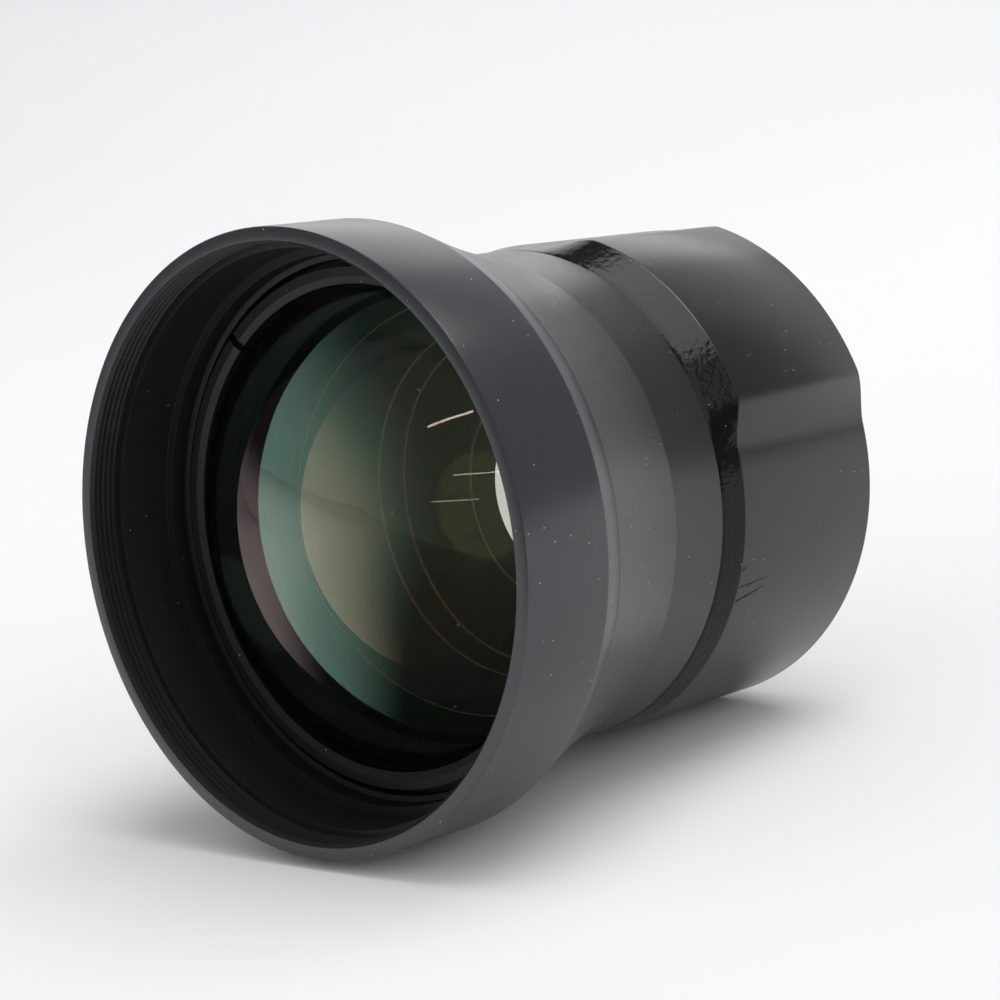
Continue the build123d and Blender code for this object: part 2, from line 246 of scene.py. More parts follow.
tone = add(tree, "ShaderNodeMix", {"data_type": "RGBA", 6: linear(PAPER_WHITE)},
           _0=path.outputs["Is Singular Ray"])
tree.links.new(shown.outputs[2], tone.inputs[7])
paper = add(tree, "ShaderNodeBsdfDiffuse", {"Roughness": 0.6}, Color=tone.outputs[2])
tree.links.new(paper.outputs[0], output.inputs[0])
table = add_object(grid_mesh("table", sheet[:, ::-1]), table_paper)
table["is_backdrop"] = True
print("table and backdrop reach, m:", round(float(run[-1]), 2), "by", TABLE_HALF * 2)

# %% [markdown]
# The light is soft: a ceiling lamp stands above and a little to the right, a
# weak broad one behind on the left draws the bright tops, one on the right
# clears the shadow there, and the room shines all round. Three thin tubes are
# what the front glass mirrors as streaks.

# %% Lights and world
STRIP_REACH = 1.6


def add_lamp(name, place, aim, size, power):
    """Square area lamp at a place in metres, turned towards a point."""
    data = bpy.data.lights.new(name, "AREA")
    data.size = size
    data.energy = power
    lamp = bpy.data.objects.new(name, data)
    bpy.context.collection.objects.link(lamp)
    lamp.location = place
    lamp.rotation_euler = (Vector(aim) - Vector(place)).to_track_quat("-Z", "Y").to_euler()


def add_strip(name, start, end, width, radiance):
    """Thin lamp between two directions (azimuth from -Y towards +X, height) at
    STRIP_REACH; an area lamp of power P and area A shines P / (pi * A)."""
    turned_by, raised = np.radians(np.array((start, end), float)).T
    level = np.cos(raised)
    ends = np.stack((np.sin(turned_by) * level, -np.cos(turned_by) * level, np.sin(raised)), axis=1)
    ends *= STRIP_REACH
    middle, run = Vector(ends.mean(axis=0)), Vector(ends[1] - ends[0])
    data = bpy.data.lights.new(name, "AREA")
    data.shape = "RECTANGLE"
    data.size, data.size_y = run.length, width
    data.energy = radiance * math.pi * run.length * width
    lamp = bpy.data.objects.new(name, data)
    bpy.context.collection.objects.link(lamp)
    along, away = run.normalized(), middle.normalized()
    upright = away.cross(along)
    turn = Matrix((along, upright, away)).transposed()
    lamp.matrix_world = Matrix.Translation(middle) @ turn.to_4x4()


add_lamp("ceiling_lamp", (0.50, 0.35, 1.70), (0, 0, 0), 1.4, 20.5)
add_lamp("back_left_lamp", (-0.75, 0.95, 0.75), (0, 0, 0), 0.9, 1.8)
add_lamp("right_lamp", (1.30, -0.25, 0.75), (0, 0, 0), 0.9, 2.5)
add_strip("tube_high", (4, 35), (22, 40), 0.020, 6.0)
add_strip("tube_middle", (15, 20), (31, 20), 0.008, 5.0)
add_strip("tube_low", (7, 12), (23, 12), 0.008, 3.0)

world = bpy.data.worlds.new("room")
bpy.context.scene.world = world
world.use_nodes = True
tree = world.node_tree
tree.nodes.clear()
output = tree.nodes.new("ShaderNodeOutputWorld")
path = add(tree, "ShaderNodeLightPath")
ray = add(tree, "ShaderNodeTexCoord")
sideways = towards_window(tree, ray.outputs["Generated"])
parts = add(tree, "ShaderNodeSeparateXYZ", _0=ray.outputs["Generated"])
low = smooth_share(tree, parts.outputs["Z"], 0.03, 0.24, 1.0, 0.0)
window = calculate(tree, "MULTIPLY", sideways, low)
behind = smooth_share(tree, parts.outputs["Y"], 0.35, 0.60, 0.0, 1.2)
brighter = calculate(tree, "MAXIMUM", window, behind)
mirrored = add(tree, "ShaderNodeMapRange", {3: 0.05, 4: 0.80}, _0=brighter)
mirrored.clamp = False
soft = add(tree, "ShaderNodeMapRange", {3: 0.62, 4: 0.25}, _0=path.outputs["Is Glossy Ray"])
plain = add(tree, "ShaderNodeMix", {"data_type": "FLOAT"}, _0=path.outputs["Is Singular Ray"],
            _2=soft.outputs[0], _3=mirrored.outputs[0])
strength = add(tree, "ShaderNodeMix", {"data_type": "FLOAT", 3: 0.95}, _0=path.outputs["Is Camera Ray"],
               _2=plain.outputs[0])
room = add(tree, "ShaderNodeBackground", {"Color": linear("#F2F3F5")}, Strength=strength.outputs[0])
tree.links.new(room.outputs[0], output.inputs[0])

scene = bpy.context.scene
scene.view_settings.view_transform = "Standard"

# %% [markdown]
# A turned piece is one closed outline in radius and station, swept round the
# axis. The outline is a list of corners; each corner may be broken by a small
# round, as a deburred edge is, because a real edge catches a line of light.
# Corners sharper than a set angle are marked sharp, so flats stay flat.

# %% Helpers for turned pieces
SIDES = 288
SHARP_TURN = 25.0


def rounded(corners, radii, steps=4):
    """Closed outline whose corners are rounded: each becomes a quadratic
    Bezier curve whose ends lie one cut length along its two sides."""
    corners = np.array(corners, float)
    radii = np.broadcast_to(np.array(radii, float), len(corners))
    before = np.roll(corners, 1, axis=0) - corners
    after = np.roll(corners, -1, axis=0) - corners
    reach = np.minimum(np.linalg.norm(before, axis=1), np.linalg.norm(after, axis=1)) * 0.45
    cut = np.minimum(radii, reach)[:, None]
    start = corners + before / np.linalg.norm(before, axis=1)[:, None] * cut
    end = corners + after / np.linalg.norm(after, axis=1)[:, None] * cut
    t = np.linspace(0, 1, steps)[None, :, None]
    curve = (1 - t) ** 2 * start[:, None] + 2 * t * (1 - t) * corners[:, None] + t ** 2 * end[:, None]
    keep = [curve[i] if radii[i] > 0 else corners[i:i + 1] for i in range(len(corners))]
    return np.concatenate(keep)


def mark_sharp(mesh, points):
    """Marks every ring where the outline turns by more than the set angle."""
    inward = points - np.roll(points, 1, axis=0)
    onward = np.roll(points, -1, axis=0) - points
    cross = inward[:, 0] * onward[:, 1] - inward[:, 1] * onward[:, 0]
    turning = np.degrees(np.abs(np.arctan2(cross, (inward * onward).sum(axis=1))))
    sharp_ring = turning > SHARP_TURN
    edges = np.empty(len(mesh.edges) * 2, np.int64)
    mesh.edges.foreach_get("vertices", edges)
    edges = edges.reshape(-1, 2)
    ring = edges // SIDES
    same = (ring[:, 0] == ring[:, 1]) & sharp_ring[ring[:, 0] % len(points)]
    layer = mesh.attributes.new("sharp_edge", "BOOLEAN", "EDGE")
    layer.data.foreach_set("value", same)


def turned(name, outline, material, wave=None, other=None):
    """Closed outline swept round the axis; wave may shift radius and station
    by angle. The outline runs so that faces point outwards. other is a second
    material and a test of radius and station that says where it goes."""
    outline = np.array(outline, float)
    following = np.roll(outline, -1, axis=0)
    area = (outline[:, 0] * following[:, 1] - following[:, 0] * outline[:, 1]).sum() / 2
    if area < 0:
        outline = outline[::-1]
    angle = np.arange(SIDES) * 360 / SIDES
    radius = np.repeat(outline[:, :1], SIDES, axis=1)
    station = np.repeat(outline[:, 1:], SIDES, axis=1)
    if wave:
        radius, station = wave(radius, station, angle[None, :])
    points = on_lens(radius, angle[None, :], station)
    mesh = grid_mesh(name, points, close_u=True, close_v=True)
    mark_sharp(mesh, outline)
    item = add_object(mesh, material)
    if other:
        mesh.materials.append(other[0])
        middle = (outline + np.roll(outline, -1, axis=0)) / 2
        second = other[1](middle[:, 0], middle[:, 1])
        mesh.polygons.foreach_set("material_index", np.repeat(second.astype(np.int32), SIDES))
    return item


# %% [markdown]
# Black anodised aluminium: turned, bead blasted or left with its fine turning
# lines, then dyed black in its oxide skin. The eye sees a dark grey satin
# whose highlight is broad across the lathe lines, with faint mottling from
# handling and a few specks of dust.

# %% Black finishes
LINE_PITCH = 0.11
MOTTLE_SIZE = 9.0
DUST_SPACING = 1.2
DUST_REACH = 0.066
MOUNT_THREAD = (0.75, 68.25, 71.40, 24.3)
THREAD_RELIEF = 0.0006


def lens_coordinates(tree):
    """Object coordinates in millimetres, turned so that Y runs along the axis."""
    place = add(tree, "ShaderNodeTexCoord")
    frame_turn = Matrix((RIGHT, AXIS, UP)).to_euler()
    mapping = add(tree, "ShaderNodeMapping", {"vector_type": "POINT"}, Vector=place.outputs["Object"])
    shift = -(Matrix((RIGHT, AXIS, UP)) @ Vector(FRONT))
    mapping.inputs["Location"].default_value = shift
    mapping.inputs["Rotation"].default_value = frame_turn
    mapping.inputs["Scale"].default_value = (1 / MM, 1 / MM, 1 / MM)
    return mapping.outputs[0]


def speckle(tree, place, spacing, share):
    """Mask of sparse round dust specks: near points of some Voronoi cells."""
    cells = add(tree, "ShaderNodeTexVoronoi", {"Scale": 1 / spacing}, Vector=place)
    near = calculate(tree, "LESS_THAN", cells.outputs["Distance"], DUST_REACH)
    pick = add(tree, "ShaderNodeSeparateColor", _0=cells.outputs["Color"])
    some = calculate(tree, "LESS_THAN", pick.outputs[0], share)
    return calculate(tree, "MULTIPLY", near, some)


def helix(tree, place, pitch, start, stop, inside):
    """Tooth height of a thread, a triangle of station / pitch - turn, between
    two stations and only on the wall that lies outside a radius."""
    parts = add(tree, "ShaderNodeSeparateXYZ", _0=place)
    angle = calculate(tree, "ARCTAN2", parts.outputs["X"], parts.outputs["Z"])
    turn = calculate(tree, "MULTIPLY", angle, 1 / (2 * math.pi))
    along = calculate(tree, "MULTIPLY", parts.outputs["Y"], 1 / pitch)
    phase = calculate(tree, "SUBTRACT", along, turn)
    height = calculate(tree, "PINGPONG", phase, 0.5)
    ends = {"operation": "COMPARE", 1: (start + stop) / 2, 2: (stop - start) / 2}
    zone = add(tree, "ShaderNodeMath", ends, _0=parts.outputs["Y"])
    flat = add(tree, "ShaderNodeVectorMath", {"operation": "MULTIPLY", 1: (1.0, 0.0, 1.0)}, _0=place)
    far = add(tree, "ShaderNodeVectorMath", {"operation": "LENGTH"}, _0=flat.outputs[0])
    outer = calculate(tree, "GREATER_THAN", far.outputs["Value"], inside)
    within = calculate(tree, "MULTIPLY", zone.outputs[0], outer)
    return calculate(tree, "MULTIPLY", height, within)


def black_finish(name, colour, light_colour, roughness, lines=0.0, grain=0.0, dust=0.30, level=0.5,
                 grain_size=0.16, thread=None):
    """Dark satin skin: mottled colour, lathe lines round the axis, fine grain,
    specks of dust and, where it is asked for, the relief of a thread."""
    material, tree, output = new_material(name)
    place = lens_coordinates(tree)
    mottle = add(tree, "ShaderNodeTexNoise", {"Scale": 1 / MOTTLE_SIZE, "Detail": 4.0}, Vector=place)
    tone = add(tree, "ShaderNodeMix", {"data_type": "RGBA", 6: linear(colour), 7: linear(light_colour)})
    tree.links.new(mottle.outputs[0], tone.inputs[0])
    specks = speckle(tree, place, DUST_SPACING, dust)
    dusty = add(tree, "ShaderNodeMix", {"data_type": "RGBA", 7: linear("#B8B4AC")}, _0=specks)
    tree.links.new(tone.outputs[2], dusty.inputs[6])
    along = add(tree, "ShaderNodeMapping", {"Scale": (0.02, 1.0, 0.02)}, Vector=place)
    rings = add(tree, "ShaderNodeTexNoise", {"Scale": 1 / LINE_PITCH, "Detail": 2.0}, Vector=along.outputs[0])
    fine = add(tree, "ShaderNodeTexNoise", {"Scale": 1 / grain_size, "Detail": 2.0}, Vector=place)
    first = add(tree, "ShaderNodeBump", {"Strength": lines, "Distance": 0.00002}, Height=rings.outputs[0])
    second = add(tree, "ShaderNodeBump", {"Strength": grain, "Distance": 0.00004}, Height=fine.outputs[0])
    tree.links.new(first.outputs[0], second.inputs["Normal"])
    if thread:
        relief = {"Strength": 1.0, "Distance": THREAD_RELIEF}
        third = add(tree, "ShaderNodeBump", relief, Height=helix(tree, place, *thread))
        tree.links.new(third.outputs[0], first.inputs["Normal"])
    rough = add(tree, "ShaderNodeMapRange", {3: roughness - 0.05, 4: roughness + 0.05}, _0=mottle.outputs[0])
    skin = add(tree, "ShaderNodeBsdfPrincipled", {"Specular IOR Level": level}, Roughness=rough.outputs[0])
    tree.links.new(dusty.outputs[2], skin.inputs["Base Color"])
    tree.links.new(second.outputs[0], skin.inputs["Normal"])
    tree.links.new(skin.outputs[0], output.inputs[0])
    return material


hood_black = black_finish("hood_satin_anodised", "#2A2C2F", "#303336", 0.26, lines=0.3, grain=0.10,
                          level=0.75)
barrel_black = black_finish("barrel_satin_anodised", "#1D1F21", "#232527", 0.28, lines=0.25, grain=0.06,
                            level=0.62)
bore_black = black_finish("bore_matt_black", "#191A1C", "#1E1F21", 0.42, lines=0.3, grain=0.15, dust=0.08,
                          level=0.30)
mount_black = black_finish("mount_thread_anodised", "#1D1F21", "#232527", 0.30, lines=0.25, grain=0.06,
                           level=0.62, thread=MOUNT_THREAD)
ring_black = black_finish("ring_matt_black", "#141415", "#1A1A1B", 0.50, lines=0.3, grain=0.2)
inner_black = black_finish("inner_flock_black", "#060606", "#090909", 0.80, dust=0.0, level=0.2)
sleeve_black = black_finish("sleeve_satin_lacquer", "#131517", "#191B1D", 0.26, lines=0.15, grain=0.12,
                            level=0.60)
gloss_black = black_finish("sleeve_gloss_lacquer", "#050506", "#080809", 0.15, grain=1.4, grain_size=0.8,
                           level=0.24)
steel_black = black_finish("screw_black_oxide", "#18181A", "#202022", 0.35, dust=0.0)
shim_brass, tree, output = new_material("shim_rolled_brass")
rolled = {"Base Color": linear("#B08D4F"), "Metallic": 1.0, "Roughness": 0.4}
brass = add(tree, "ShaderNodeBsdfPrincipled", rolled)
tree.links.new(brass.outputs[0], output.inputs[0])
print("black finishes:", len([m for m in bpy.data.materials if "black" in m.name or "anodised" in m.name]))

# %% [markdown]
# Optical glass with an anti-reflection coating. The coating is a stack of
# films a quarter of a wave thick, so it takes most of the mirror image away
# and leaves a weak coloured one: purple or amber looked at squarely, greener
# or whiter at a slant. Here a clear refraction is mixed with a weak coloured
# mirror whose share grows with the Fresnel slope of the glass.

# %% Coated glass
def coated_glass(name, index, straight, slanted, share, body="#FFFFFF"):
    """Refraction plus a mirror of two colours, by how slanted the view is."""
    material, tree, output = new_material(name)
    clear = add(tree, "ShaderNodeBsdfRefraction", {"Color": linear(body), "Roughness": 0.0, "IOR": index})
    slope = add(tree, "ShaderNodeLayerWeight", {"Blend": 0.5})
    tint = add(tree, "ShaderNodeMix", {"data_type": "RGBA", 6: linear(straight), 7: linear(slanted)})
    tree.links.new(slope.outputs["Facing"], tint.inputs[0])
    mirror = add(tree, "ShaderNodeBsdfGlossy", {"Roughness": 0.0}, Color=tint.outputs[2])
    fresnel = add(tree, "ShaderNodeFresnel", {"IOR": index})
    growth = {1: 0.05, 2: 1.0, 3: share, 4: min(1.0, share * 3)}
    amount = add(tree, "ShaderNodeMapRange", growth, _0=fresnel.outputs[0])
    both = add(tree, "ShaderNodeMixShader", _0=amount.outputs[0], _1=clear.outputs[0], _2=mirror.outputs[0])
    tree.links.new(both.outputs[0], output.inputs[0])
    return material


front_glass = coated_glass("front_crown_coated", 1.60, "#FFE0DC", "#FFECE8", 0.085)
back_glass = coated_glass("front_crown_back_coated", 1.60, "#C4FFE2", "#CCFFE6", 0.18)
pair_glass = coated_glass("pair_crown_coated", 1.60, "#FFC890", "#FFD4A8", 0.20)
rear_glass = coated_glass("rear_glass_coated", 1.60, "#E8D0A0", "#E8D8C0", 0.02)
edge_paint = black_finish("lens_edge_black_paint", "#050505", "#080808", 0.75, dust=0.0, level=0.2)
cement, tree, output = new_material("cemented_face")
through = add(tree, "ShaderNodeBsdfTransparent", {"Color": linear("#FFFFFF")})
tree.links.new(through.outputs[0], output.inputs[0])

# Tan diffuse for the ground chamfer of the hollow glass, also used for the painted reflection arcs.
chamfer_and_arc_tan, tree, output = new_material("glass_chamfer_and_painted_arcs")
ground = add(tree, "ShaderNodeBsdfDiffuse", {"Color": linear("#B89468")})
tree.links.new(ground.outputs[0], output.inputs[0])

# %% [markdown]
# The bell. Outside it is a plain cylinder with a broken lip and a bevel to
# the neck; inside come a filter thread, a smooth bore and a ledge. The thread
# is a real helix: the wall's radius is a tooth shape of the station less the
# pitch times the turn, so it closes on itself after one turn.

# %% Front hood ring
HOOD_RADIUS = 35.05
BEVEL_START = 12.70
HOOD_END = 15.74
BEVEL_RADIUS = 33.95
LIP_INNER = 33.47
THREAD_RADIUS = 33.10
THREAD_DEPTH = 0.40
THREAD_PITCH = 0.75
THREAD_START = 0.55
THREAD_STOP = 3.55
BORE_STEP = 3.93
BORE_RADIUS = 32.40
LEDGE_STATION = 10.83
SEAT_RADIUS = 31.35


def tooth(phase):
    """Tooth height from 0 at the root to 1 at the crest: a clipped triangle."""
    return np.clip(1.35 * np.abs(2 * (phase % 1) - 1) - 0.1, 0, 1)


def filter_thread(radius, station, angle):
    """Cuts a helical groove into the wall between the thread's two ends."""
    fade = np.clip((station - THREAD_START) / 0.3, 0, 1) * np.clip((THREAD_STOP - station) / 0.3, 0, 1)
    wall = (np.abs(radius - THREAD_RADIUS) < 0.01) * fade
    cut = 1 - tooth((station - 0.90) / THREAD_PITCH + 0.5 - angle / 360)
    return radius + wall * THREAD_DEPTH * cut, station


outside = rounded([(LIP_INNER, 0), (HOOD_RADIUS - 0.05, 0), (HOOD_RADIUS, BEVEL_START),
                   (BEVEL_RADIUS, HOOD_END), (SEAT_RADIUS, HOOD_END), (SEAT_RADIUS, LEDGE_STATION),
                   (BORE_RADIUS, LEDGE_STATION), (BORE_RADIUS, BORE_STEP), (THREAD_RADIUS + 0.15, BORE_STEP)],
                  [0.06, 0.24, 0.15, 0.05, 0, 0.05, 0.12, 0.10, 0.05])
thread_wall = np.linspace(3.75, 0.45, 110)
thread_outline = np.stack((np.full(110, THREAD_RADIUS), thread_wall), axis=1)
hood_outline = np.concatenate((outside, thread_outline))
hood = turned("front_hood_ring_turned", hood_outline, hood_black, wave=filter_thread,
              other=(bore_black, lambda radius, station: (radius < LIP_INNER) & (station < HOOD_END - 0.1)))
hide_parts("front_hood_ring")
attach(hood, "root")
print("hood corners:", len(hood_outline), "faces:", len(hood.data.polygons))

# %% [markdown]
# The barrel narrows behind the bell in one hollow curve, like the waist of a
# vase, and goes on as a plain cylinder to the sleeve.

# %% Main barrel
SPIGOT_RADIUS = 31.29
SPIGOT_START = 12.82
RELIEF_RADIUS = 30.60
RELIEF_END = 14.92
NECK_END = 30.96
NECK_END_RADIUS = 29.65
NECK_HOLLOW = 0.36
BARREL_RADIUS = 29.50
SLEEVE_START = 39.66
SLEEVE_SEAT = 28.25
BARREL_END = 66.80
BARREL_BORE = 26.50
LEDGE_RADIUS = 22.00
SHOULDER = 35.00
LEDGE_END = 36.40
PAIR_BORE = 25.05
SPACER_END = 25.18
ELEMENT_BORE = 29.35
SEAT_FACE = 15.72
SEAT_LIP = 29.80


def in_front_recess(radius, station):
    """Where the barrel's inside is dyed matt: its spigot face and its mouth."""
    return (radius < SPIGOT_RADIUS) & (station < RELIEF_END + 5)


def three_point_arc(start, middle, end, count):
    """Arc through three points, sampled evenly by angle about its centre."""
    (ax, ay), (bx, by), (cx, cy) = start, middle, end
    d = 2 * (ax * (by - cy) + bx * (cy - ay) + cx * (ay - by))
    squares = [ax * ax + ay * ay, bx * bx + by * by, cx * cx + cy * cy]
    x = (squares[0] * (by - cy) + squares[1] * (cy - ay) + squares[2] * (ay - by)) / d
    y = (squares[0] * (cx - bx) + squares[1] * (ax - cx) + squares[2] * (bx - ax)) / d
    radius = math.hypot(ax - x, ay - y)
    sweep = np.linspace(math.atan2(ay - y, ax - x), math.atan2(cy - y, cx - x), count)
    return np.stack((x + radius * np.cos(sweep), y + radius * np.sin(sweep)), axis=1)


neck_middle = ((BEVEL_RADIUS + NECK_END_RADIUS) / 2 - NECK_HOLLOW, (HOOD_END + NECK_END) / 2)
neck = three_point_arc((BEVEL_RADIUS, HOOD_END), neck_middle, (NECK_END_RADIUS, NECK_END), 48)
barrel_outline = np.concatenate((
    rounded([(RELIEF_RADIUS, SPIGOT_START + 0.21), (SPIGOT_RADIUS, SPIGOT_START), (SPIGOT_RADIUS, HOOD_END)],
            [0.04, 0.04, 0])[:-1],
    [(SPIGOT_RADIUS, HOOD_END + 0.02), (BEVEL_RADIUS - 0.08, HOOD_END + 0.02)],
    neck[1:],
    [(BARREL_RADIUS + 0.02, NECK_END + 0.10), (BARREL_RADIUS, NECK_END + 0.30),
     (BARREL_RADIUS, SLEEVE_START - 0.08), (BARREL_RADIUS - 0.08, SLEEVE_START - 0.01),
     (SLEEVE_SEAT, SLEEVE_START - 0.01), (SLEEVE_SEAT, BARREL_END),
     (BARREL_BORE, BARREL_END), (BARREL_BORE, LEDGE_END), (LEDGE_RADIUS, LEDGE_END), (LEDGE_RADIUS, SHOULDER),
     (PAIR_BORE, SHOULDER), (PAIR_BORE, SPACER_END), (ELEMENT_BORE, SPACER_END), (ELEMENT_BORE, SEAT_FACE),
     (SEAT_LIP, RELIEF_END), (RELIEF_RADIUS, RELIEF_END)]))
barrel = turned("main_barrel_turned", barrel_outline, barrel_black,
                other=(bore_black, in_front_recess))
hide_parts("main_barrel")
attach(barrel, "root")
print("barrel faces:", len(barrel.data.polygons))

# %% [markdown]
# The glasses are bodies of two spheres and a ground rim. A sphere's cap at
# radius r lies R - sqrt(R * R - r * r) behind its vertex. The rims are painted
# black, so no light enters from the side, and the two faces that are cemented
# together let light straight through.

# %% Glass elements
GLASS_RINGS = 72
FACE_FRONT, FACE_BACK, FACE_RIM, FACE_CHAMFER = 0, 1, 2, 3
CHAMFER_WIDTH = 0.12


def cap(curve, vertex, radius, count):
    """Outline of a spherical cap from the axis out to a radius."""
    r = np.linspace(0.0, radius, count)
    depth = np.sign(curve) * (abs(curve) - np.sqrt(curve * curve - r * r))
    return np.stack((r, vertex + depth), axis=1)


def glass_element(name, front, back, radius, vertex, centre, faces, hollow=None):
    """Closed lens body; faces are the materials of front, back and rim. A
    hollow back is ground only to its own radius and is flat outside it."""
    ahead = cap(front, vertex, radius, GLASS_RINGS)[1:]
    behind = cap(back, vertex + centre, hollow or radius, GLASS_RINGS)[:0:-1]
    if hollow:
        behind = np.concatenate(([(radius, behind[0, 1]), (hollow + CHAMFER_WIDTH, behind[0, 1])], behind))
    outline = np.concatenate((ahead, behind))
    angle = np.arange(SIDES) * 360 / SIDES
    points = on_lens(outline[:, :1], angle[None, :], outline[:, 1:])
    ends = on_lens(np.zeros(2), np.zeros(2), np.array((vertex, vertex + centre)))
    rows = np.arange(len(outline) * SIDES).reshape(len(outline), SIDES)
    turned_rows = np.roll(rows, -1, axis=1)
    quads = np.stack((rows[:-1], turned_rows[:-1], turned_rows[1:], rows[1:]), axis=-1).reshape(-1, 4)
    first, last = len(outline) * SIDES, len(outline) * SIDES + 1
    front_fan = np.stack((np.full(SIDES, first), turned_rows[0], rows[0]), axis=1)
    back_fan = np.stack((np.full(SIDES, last), rows[-1], turned_rows[-1]), axis=1)
    mesh = bpy.data.meshes.new(name)
    place = np.concatenate((points.reshape(-1, 3), ends))
    mesh.from_pydata(place, [], quads.tolist() + front_fan.tolist() + back_fan.tolist())
    mesh.polygons.foreach_set("use_smooth", np.ones(len(mesh.polygons), bool))
    for material in faces:
        mesh.materials.append(material)
    band = np.repeat(np.arange(len(outline) - 1), SIDES)
    last_rim = GLASS_RINGS if hollow else GLASS_RINGS - 2
    kind = np.where(band < GLASS_RINGS - 2, FACE_FRONT, np.where(band <= last_rim, FACE_RIM, FACE_BACK))
    if hollow:
        kind = np.where(band == last_rim, FACE_CHAMFER, kind)
    kind = np.concatenate((kind, np.full(SIDES, FACE_FRONT), np.full(SIDES, FACE_BACK)))
    mesh.polygons.foreach_set("material_index", kind)
    edges = np.empty(len(mesh.edges) * 2, np.int64)
    mesh.edges.foreach_get("vertices", edges)
    ring = edges.reshape(-1, 2) // SIDES
    sharp = (ring[:, 0] == ring[:, 1]) & (ring[:, 0] >= GLASS_RINGS - 2) & (ring[:, 0] <= last_rim + 1)
    mesh.attributes.new("sharp_edge", "BOOLEAN", "EDGE").data.foreach_set("value", sharp)
    return add_object(mesh)


GLASS_RADIUS = 29.30
PAIR_RADIUS = 25.00
HOLLOW_RADIUS = 15.70
REAR_RADIUS = 17.20
glasses = {
    "front_element": (40.0, 52.6, GLASS_RADIUS, 1.66, 12.34, (front_glass, back_glass, edge_paint)),
    "second_element": (31.2, -250.0, PAIR_RADIUS, 14.50, 15.187, (pair_glass, cement, edge_paint)),
    "third_element": (-250.0, 37.0, PAIR_RADIUS, 29.707, 1.80, (cement, cement, edge_paint, chamfer_and_arc_tan),
                      HOLLOW_RADIUS),
    "fourth_element": (-62.0, 44.0, REAR_RADIUS, 51.936, 2.270, (rear_glass, rear_glass, edge_paint)),
    "fifth_element": (46.0, 120.0, REAR_RADIUS, 57.109, 4.600, (rear_glass, rear_glass, edge_paint)),
}
for node, form in glasses.items():
    element = glass_element(node + "_ground", *form)
    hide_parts(node)
    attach(element, "root")


def thin_disc(name, inner, outer, station, material):
    """Flat ring of DISC_THICKNESS at a station, riding on the body."""
    behind = station + DISC_THICKNESS
    outline = [(inner, station), (outer, station), (outer, behind), (inner, behind)]
    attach(turned(name, outline, material), "root")


DISC_THICKNESS = 0.05
# Painted reflections: three thin tan rings float in air behind the hollow glass, where no part stands, to
# draw the bright arcs that the glass shows.
PAINTED_ARC_RINGS = {"painted_arc_ring_outer": (12.60, 37.60), "painted_arc_ring_middle": (11.55, 38.30),
              "painted_arc_ring_small": (7.40, 39.00)}
for name, (radius, station) in PAINTED_ARC_RINGS.items():
    thin_disc(name, radius, radius + CHAMFER_WIDTH, station, chamfer_and_arc_tan)
# Painted light: a disc that glows by itself stands for the pale backdrop seen through the rear opening.
glow, tree, output = new_material("painted_glow_of_backdrop")
light = add(tree, "ShaderNodeEmission", {"Color": linear("#F6F3E8"), "Strength": 0.95})
tree.links.new(light.outputs[0], output.inputs[0])
thin_disc("painted_glow_rear_opening", 0.01, 5.64, 39.20, glow)
print("glass elements:", len(glasses))

# %% [markdown]
# The sleeve is turned too, but two long pads stand out of it for the fingers.
# Its wall is round between the pads, and each pad's side is a flat ramp, a
# chord from the low circle to the high one. In front a long slope runs from
# the barrel's surface up to the sleeve's full height.

# %% Grip sleeve
SLEEVE_LOW = 30.00
SLEEVE_HIGH = 31.60
SLEEVE_END = 68.49
SLEEVE_RIM_LOW = 43.33
SLEEVE_RIM_HIGH = 44.10
SLEEVE_BORE = 28.30
PAD_FULL_HALF = 25.0
PAD_RAMP = 11.0
PAD_CENTRE = 43.93
REBATE_RADIUS = 28.95


def pad_height(angle):
    """Share of the pad's full height: 1 on a pad, 0 between, and on the ramp a
    chord blended with the smooth step t * t * (3 - 2 * t)."""
    off = np.abs((angle - PAD_CENTRE + 90) % 180 - 90)
    inner = np.radians(PAD_RAMP)
    t = np.clip((PAD_FULL_HALF + PAD_RAMP - off) / PAD_RAMP, 0, 1)
    low_x, low_y = SLEEVE_LOW * np.cos(inner), SLEEVE_LOW * np.sin(inner)
    turned_angle = np.radians((1 - t) * PAD_RAMP)
    cross = SLEEVE_HIGH * low_y
    chord = cross / (np.cos(turned_angle) * low_y + np.sin(turned_angle) * (SLEEVE_HIGH - low_x))
    inside = (chord - SLEEVE_LOW) / (SLEEVE_HIGH - SLEEVE_LOW)
    eased = inside * 0.4 + 0.6 * t * t * (3 - 2 * t)
    return np.where(t >= 1, 1.0, np.where(t <= 0, 0.0, eased))


def raise_pads(radius, station, angle):
    """Lifts the outer wall and shifts its front rim by the pad's height."""
    height = pad_height(angle)
    wall = np.clip((radius - BARREL_RADIUS) / (SLEEVE_LOW - BARREL_RADIUS), 0, 1)
    lifted = radius + wall * height * (SLEEVE_HIGH - SLEEVE_LOW)
    near_rim = np.clip((SLEEVE_END - station) / (SLEEVE_END - SLEEVE_RIM_LOW), 0, 1)
    moved = station + wall * height * (SLEEVE_RIM_HIGH - SLEEVE_RIM_LOW) * near_rim
    return lifted, moved


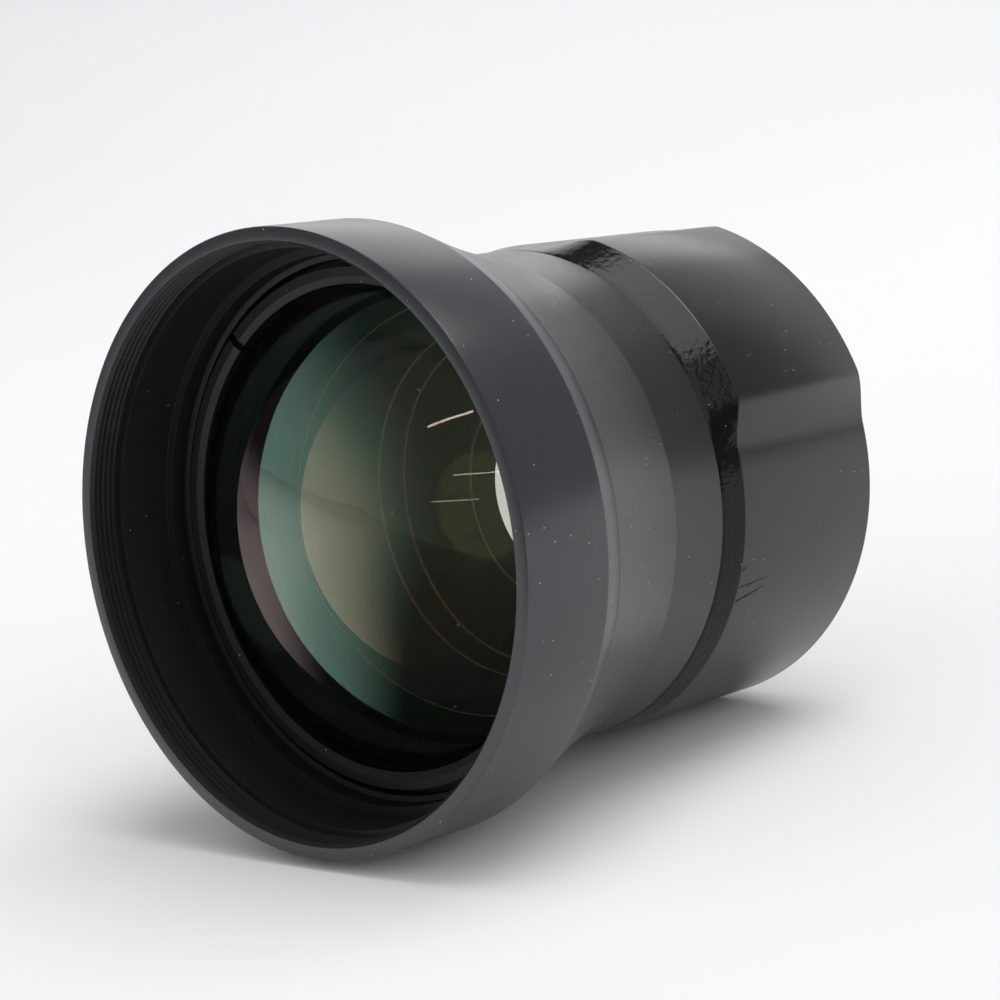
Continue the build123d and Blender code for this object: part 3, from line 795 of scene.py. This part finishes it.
slope_count = 14
slope_radius = np.linspace(BARREL_RADIUS, SLEEVE_LOW, slope_count)
slope_station = np.linspace(SLEEVE_START + 0.02, SLEEVE_RIM_LOW, slope_count)
slope = np.stack((slope_radius, slope_station), axis=1)[1:-1]
rim_corners = [slope[-1], (SLEEVE_LOW, SLEEVE_RIM_LOW), (SLEEVE_LOW, SLEEVE_END), (REBATE_RADIUS, SLEEVE_END)]
rim = rounded(rim_corners, [0, 0.25, 0.35, 0.08], steps=6)
sleeve_outline = np.concatenate((
    [(SLEEVE_BORE, SLEEVE_START + 0.02), (BARREL_RADIUS - 0.06, SLEEVE_START + 0.02)], slope[:-1], rim,
    [(REBATE_RADIUS, BARREL_END), (SLEEVE_BORE, BARREL_END)]))
sleeve = turned("grip_sleeve_moulded", sleeve_outline, sleeve_black, wave=raise_pads,
                other=(gloss_black, lambda radius, station: station < SLEEVE_RIM_LOW - 0.2))
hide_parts("grip_sleeve")
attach(sleeve, "root")
print("sleeve faces:", len(sleeve.data.polygons))

# %% [markdown]
# The sleeve's front edge is chipped low on the right, and four fine cuts run
# from the chips towards the rear. Each is a dark sliver laid on the surface:
# the cut is real wear, and its dark colour is painted shade of the groove. The
# sliver is widest at the edge and fades out: half width = width / 2 * (1 - 0.8 * t).

# %% Chips and cuts on the sleeve
CUT_LIFT = 0.012
# Painted shade: the cuts' dark colour stands for the shade inside the grooves.
cut_painted_shade, tree, output = new_material("cut_wear_painted_groove_shade")
groove_shade_look = {"Base Color": linear("#0B0B0C"), "Roughness": 0.5, "Specular IOR Level": 0.2}
dark = add(tree, "ShaderNodeBsdfPrincipled", groove_shade_look)
tree.links.new(dark.outputs[0], output.inputs[0])
CUTS = [
    ((111.3, 43.50), (110.4, 48.70), 0.17),
    ((111.7, 45.00), (110.0, 47.30), 0.10),
    ((114.7, 43.40), (112.4, 48.50), 0.26),
    ((114.3, 44.85), (113.3, 47.40), 0.09),
    ((107.2, 43.45), (106.6, 44.30), 0.34),
]


def cut_strip(name, start, end, width, count=13):
    """Strip along the wall from one place (angle, station) to another."""
    t = np.linspace(0, 1, count)
    angle = start[0] + (end[0] - start[0]) * t
    station = start[1] + (end[1] - start[1]) * t
    half = width / 2 * (1 - 0.8 * t)
    sideways = np.degrees(half / SLEEVE_LOW)
    height = np.full(count, SLEEVE_LOW + CUT_LIFT)
    points = np.stack([on_lens(height, angle + side * sideways, station) for side in (-1, 1)], axis=1)
    return add_object(grid_mesh(name, points), cut_painted_shade)


for number, (start, end, width) in enumerate(CUTS, 1):
    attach(cut_strip("sleeve_cut_%d" % number, start, end, width), "root")
print("cuts on the sleeve:", len(CUTS))

# %% [markdown]
# What is left keeps the frame's own solids: rings, spacers, the cell and the
# mount. They only need their finish.

# %% Finishes of the other nodes
finishes = {
    "front_retaining_ring": ring_black,
    "front_spacer_ring": inner_black,
    "baffle_ring": inner_black,
    "light_trap_tube": inner_black,
    "cell_carrier_ring": ring_black,
    "carrier_lock_ring": ring_black,
    "rear_cell_shim": shim_brass,
    "rear_cell": ring_black,
    "rear_spacer_ring": inner_black,
    "rear_retaining_ring": ring_black,
    "rear_light_stop": inner_black,
    "mount_ring": mount_black,
    "mount_grub_screws": steel_black,
}
for node, material in finishes.items():
    nodes[node].data.materials.clear()
    nodes[node].data.materials.append(material)
print("frame nodes with a finish:", len(finishes))

# %% [markdown]
# Last, the two boxes are printed side by side: the frame's own and that of
# the dressed part, which must not be larger.

# %% Sizes and finish
plain = [[list(map(float, corner)) for corner in box] for box in (cad_box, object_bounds())]
print("boxes, mm:", np.round(np.array(plain) / MM, 2).tolist())
